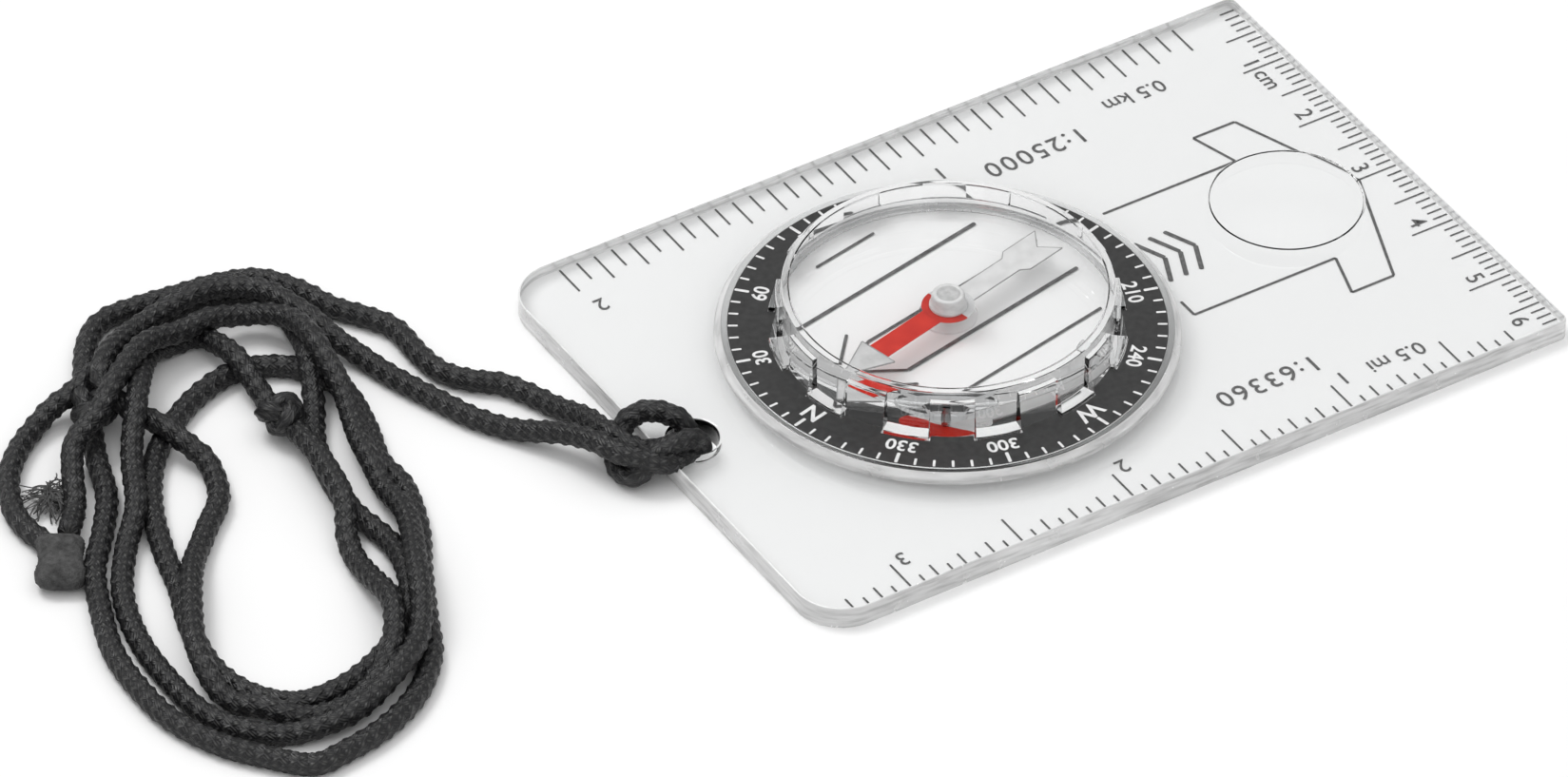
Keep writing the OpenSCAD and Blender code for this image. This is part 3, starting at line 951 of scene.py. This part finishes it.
def travel_arrow(marks):
    """Outlined arrow that points along the direction of travel, with plain chevrons in its shaft."""
    left = [(-8.85, 13.9), (-8.85, 29.65), (-14.1, 28.05), (-14.1, 33.0), (0.0, 38.4)]
    right = [(6.5, 13.0), (8.85, 13.0), (8.85, 29.65), (14.1, 28.05), (14.1, 33.0), (0.0, 38.4)]
    marks.path(left, 0.3)
    marks.path(right, 0.3)
    for y in (15.4, 17.2, 19.0):
        marks.path([(-3.4, y - 1.5), (0.0, y), (3.4, y - 1.5)], 0.5)


def plate_print():
    """Everything printed in the plate, as one piece."""
    marks = Print(PRINT_LOW, PRINT_HIGH)
    km_scale(marks)
    cm_scale(marks)
    mile_scale(marks)
    travel_arrow(marks)
    marks.piece("plate_print", INK, "plate", "dial_print")


clear_plate()
plate_print()


# ---------------------------------------------------------------- dial

def bezel_section(grip, grip_top, soft):
    """From the capsule's base, out along the flange, up the grips and back over the window."""
    edge = rounded([
        (14.0, 0.2, 0.0), (16.6, 0.2, 0.05), (16.6, 0.77, 0.05), (NECK_R, 0.77, 0.05),
        (NECK_R, FLANGE_LOW, 0.06), (FLANGE_R, FLANGE_LOW, 0.10), (FLANGE_R, SHOULDER_Z, 0.22),
        (SHOULDER_R, FLANGE_TOP, 0.18), (SEAT_R, FLANGE_TOP, 0.04), (SEAT_R, SEAT_Z, 0.04),
        (grip, SEAT_Z, 0.04), (grip, grip_top, soft), (GRIP_R, grip_top, 0.06),
        (GRIP_R, DIAL_TOP, 0.16), (15.68, DIAL_TOP, 0.02), (BORE_R, DIAL_TOP - 0.3, 0.03),
        (15.52, DIAL_TOP, 0.02), (14.0, DIAL_TOP, 0.0)])
    edge = edge[6:-6]
    return [(0.0, 0.2), (7.0, 0.2), (14.0, 0.2)] + edge + [(14.0, DIAL_TOP), (7.0, DIAL_TOP), (0.0, DIAL_TOP)]


def bezel():
    """Clear turning bezel with twelve raised grips, twelve ledges, and the capsule it holds."""
    rib = bezel_section(RIB_R, RIB_TOP, 0.22)
    ledge = bezel_section(LEDGE_R, LEDGE_TOP, 0.18)
    half = [((a[0] + b[0]) / 2, (a[1] + b[1]) / 2) for a, b in zip(ledge, rib)]
    columns = []
    span = 14.8
    steps = 10
    for i in range(GRIPS):
        middle = GRIP_STEP * i
        columns += [(middle - span / 2 + span * k / steps, ledge) for k in range(steps + 1)]
        columns.append((middle + 7.5, half))
        columns += [(middle + 7.6 + span * k / steps, rib) for k in range(steps + 1)]
        columns.append((middle + 22.5, half))
    verts, faces = spun(columns)
    obj = piece("bezel", at_dial(verts, BEARING), faces, BEZEL_CLEAR, "dial", 32.0)
    # Faces outside the shoulder get the milky flange edge, whose white is painted light in place of light
    # through the clear flange.
    obj.data.materials.append(FLANGE_EDGE)
    for face in obj.data.polygons:
        reach = math.hypot(face.center.x, face.center.y - DIAL_Y * MM)
        if reach > (SHOULDER_R + 0.03) * MM:
            face.material_index = 1
    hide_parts("bezel_ring", "capsule_dome", "capsule_base")


def degree_ring():
    """Black printed ring, notched round the ledges."""
    low = 3.36
    columns = []
    for i in range(GRIPS):
        for start, inner in ((-8.0, LEDGE_R + 0.03), (8.0, RIB_R + 0.03)):
            span = 16.0 if start < 0 else 14.0
            count = 14
            for k in range(count + 1):
                angle = GRIP_STEP * i + start + 0.02 + (span - 0.04) * k / count
                section = rounded([
                    (inner, low, 0.03), (inner, FLANGE_TOP, 0.03),
                    (21.5, FLANGE_TOP, 0.03), (21.5, low, 0.03)])
                columns.append((angle, section))
    verts, faces = turned(columns)
    obj = piece("degree_ring", at_dial(verts, BEARING), faces, RING_BLACK, "dial", 32.0)
    obj.data.materials.append(SHEET_BACK)
    for face in obj.data.polygons:
        if face.center.z < (FLANGE_TOP - 0.04) * MM:
            face.material_index = 1
    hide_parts("degree_dial")


def dial_marks():
    """White ticks every five degrees, with letters and figures, tops outwards."""
    marks = Print(FLANGE_TOP - 0.01, FLANGE_TOP + 0.012, BEARING)
    for i in range(72):
        a = math.radians(5 * i)
        inner = 19.95 if i % 6 == 0 else 20.45
        width = 0.34 if i % 6 == 0 else 0.26
        way = (math.sin(a), math.cos(a))
        marks.line((way[0] * inner, way[1] * inner), (way[0] * 21.42, way[1] * 21.42), width)
    names = {0: "N", 90: "E", 180: "S", 270: "W"}
    for angle in range(0, 360, 30):
        a = math.radians(angle)
        text = names.get(angle, str(angle))
        size = 2.75 if angle in names else 2.15
        weight = 0.06 if angle in names else 0.045
        radius = 18.75
        marks.word(text, (radius * math.sin(a), radius * math.cos(a)), -angle, size, weight)
    marks.piece("dial_marks", MARK_WHITE, "dial", "dial_print")


def capsule_lines():
    """Orienting lines and north arrow printed under the capsule."""
    marks = Print(0.10, 0.14, LINES_TURN)
    limit = 15.1

    def run(e, low, high, width):
        marks.line((e, low), (e, high), width)

    def reach(e):
        return math.sqrt(limit ** 2 - e ** 2)

    run(-14.5, -3.9, 3.9, 0.3)
    run(14.5, -3.9, 3.9, 0.3)
    run(8.85, -reach(8.85), reach(8.85), 0.42)
    run(-8.85, -reach(8.85), 8.8, 0.3)
    run(2.87, -reach(2.87), 8.1, 0.3)
    run(-2.87, -reach(2.87), 8.1, 0.42)
    marks.path([(-5.05, 8.8), (0.0, 15.2), (5.05, 8.8)], 0.32)
    marks.path([(-2.87, 8.1), (0.0, 11.55), (2.87, 8.1)], 0.32)
    marks.piece("capsule_lines", LINE_INK, "dial", "dial_print")


bezel()
degree_ring()
dial_marks()
capsule_lines()


# ---------------------------------------------------------------- needle

BLADE_LOW = 3.46
BLADE_HIGH = 3.59
HALF_W = 1.2
FLARE_R = 2.62
HEAD_N = 9.8
HEAD_W = 2.2
NORTH = 14.75
TAIL_N = 9.7
TAIL_W = 1.85
NOTCH_N = 12.6
SOUTH = 14.25


def flare(north):
    """Half of the round boss in the middle of the blade, from its right side to its left."""
    turn = [math.degrees(math.acos(HALF_W / FLARE_R)) * k / 8 for k in range(8, -1, -1)]
    sign = 1 if north else -1
    right = [(FLARE_R * math.cos(math.radians(a)), sign * FLARE_R * math.sin(math.radians(a))) for a in turn]
    left = [(-x, y) for x, y in reversed(right)]
    return right, left


def needle():
    """Red north half with a grey arrowhead, and a white south half with a swallow tail."""
    red = Print(BLADE_LOW, BLADE_HIGH, BEARING)
    right, left = flare(True)
    red.polygon([(HALF_W, HEAD_N)] + [(-HALF_W, HEAD_N)] + left[::-1] + right[::-1])
    grey = Print(BLADE_LOW, BLADE_HIGH, BEARING)
    grey.polygon([(-HEAD_W, HEAD_N), (HEAD_W, HEAD_N), (0.0, NORTH)])
    white = Print(BLADE_LOW, BLADE_HIGH, BEARING)
    right, left = flare(False)
    white.polygon(left[::-1] + right[::-1] + [
        (HALF_W, -8.9), (TAIL_W, -TAIL_N), (TAIL_W, -SOUTH), (0.0, -NOTCH_N), (-TAIL_W, -SOUTH),
        (-TAIL_W, -TAIL_N), (-HALF_W, -8.9)])
    edge = Print(BLADE_LOW - 0.005, BLADE_HIGH + 0.005, BEARING)
    head = [(-HEAD_W, HEAD_N), (HEAD_W, HEAD_N), (0.0, NORTH), (-HEAD_W, HEAD_N)]
    edge.path(head, 0.14)
    tail = [(HALF_W, -2.4), (HALF_W, -8.9), (TAIL_W, -TAIL_N), (TAIL_W, -SOUTH), (0.0, -NOTCH_N)]
    edge.path(tail, 0.10)
    edge.path([(-x, y) for x, y in tail], 0.10)
    blade = red.piece("needle_north", NEEDLE_RED, "needle", "needle_paint")
    grey.piece("needle_head", NEEDLE_GREY, "needle", "needle_paint")
    white.piece("needle_south", NEEDLE_WHITE, "needle", "needle_paint")
    edge.piece("needle_edge", NEEDLE_LINE, "needle", "needle_paint")
    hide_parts("needle_blade")


def hub():
    """Moulded hub with a stepped collar and a flat polished top."""
    section = [(0.0, 3.62), (1.0, 3.62), (1.7, 3.62), (1.86, 3.66), (1.88, 3.76), (1.86, 4.2), (1.80, 4.35)]
    section += [(1.74, 4.45), (1.68, 5.6), (1.60, 6.3), (1.57, 6.5), (1.50, 6.6), (1.38, 6.64)]
    section += [(1.24, 6.64), (1.18, 6.62), (1.12, 6.58), (1.0, 6.58), (0.5, 6.58), (0.0, 6.58)]
    verts, faces = lathe(section, 64)
    obj = piece("hub", at_dial(verts, BEARING), faces, HUB_GREY, "needle", 40.0)
    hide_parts("needle_hub")
    disc = [(0.0, 6.56), (0.6, 6.56), (1.16, 6.56), (1.19, 6.58), (1.17, 6.61), (1.05, 6.62)]
    disc += [(0.5, 6.62), (0.0, 6.62)]
    verts, faces = lathe(disc, 64)
    piece("hub_disc", at_dial(verts, BEARING), faces, HUB_TOP, "needle", 40.0)
    collar = [(0.0, 3.605), (1.8, 3.605), (2.5, 3.605), (2.58, 3.63), (2.6, 3.7), (2.56, 3.78)]
    collar += [(2.48, 3.82), (2.1, 3.84), (1.8, 3.84), (0.0, 3.84)]
    verts, faces = lathe(collar, 64)
    piece("hub_collar", at_dial(verts, BEARING), faces, POST_CLEAR, "needle", 40.0)


def coat(node, material):
    """Gives a CAD node its material."""
    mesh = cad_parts[node].data
    mesh.materials.clear()
    mesh.materials.append(material)


needle()
hub()
coat("friction_ring", NYLON)
coat("retaining_ring", NYLON)
coat("fill_plug", POST_CLEAR)
coat("pivot_post", POST_CLEAR)
coat("pivot_pin", STEEL)
coat("jewel_cup", JEWEL)


# ---------------------------------------------------------------- studio

FLOOR_REACH = 1500
FLOOR_Z = -0.02


def floor():
    """A wide pale floor, just under the plate."""
    verts = [(x * FLOOR_REACH, y * FLOOR_REACH, FLOOR_Z) for x, y in ((-1, -1), (1, -1), (1, 1), (-1, 1))]
    mesh = bpy.data.meshes.new("floor")
    mesh.from_pydata([tuple(c * MM for c in v) for v in verts], [], [(0, 1, 2, 3)])
    mat, tree, shader = new_material("floor")
    set_sockets(shader, {"Roughness": 0.9, "Specular IOR Level": 0.1})
    colour = ramp(tree, noise(tree, 8.0), [(0.3, 0.88), (0.7, 0.90)])
    tree.links.new(colour, shader.inputs["Base Color"])
    mesh.materials.append(mat)
    obj = bpy.data.objects.new("floor", mesh)
    bpy.context.scene.collection.objects.link(obj)


def lamp(name, place, size, power):
    """A soft square light aimed at the middle of the object."""
    data = bpy.data.lights.new(name, "AREA")
    data.shape = "SQUARE"
    data.size = size
    data.energy = power
    obj = bpy.data.objects.new(name, data)
    obj.location = place
    aim = Vector((0.0, -0.03, 0.0)) - Vector(place)
    obj.rotation_euler = aim.to_track_quat("-Z", "Y").to_euler()
    bpy.context.scene.collection.objects.link(obj)


def studio():
    """Room that is white overhead and darker lower down, so that clear edges read."""
    world = bpy.data.worlds.new("studio")
    bpy.context.scene.world = world
    world.use_nodes = True
    tree = world.node_tree
    place = tree.nodes.new("ShaderNodeTexCoord")
    split = tree.nodes.new("ShaderNodeSeparateXYZ")
    tree.links.new(place.outputs["Generated"], split.inputs["Vector"])
    sky = ramp(tree, split.outputs["Z"], [(0.0, 0.22), (0.3, 0.36), (0.7, 0.40), (0.9, 1.0)])
    tree.links.new(sky, tree.nodes["Background"].inputs["Color"])
    tree.nodes["Background"].inputs["Strength"].default_value = 1.36
    lamp("key", (-0.55, -0.25, 1.1), 0.5, 5.2)
    lamp("fill", (0.8, -0.5, 0.9), 0.9, 1.7)


floor()
studio()
bpy.context.scene.view_settings.view_transform = "Standard"
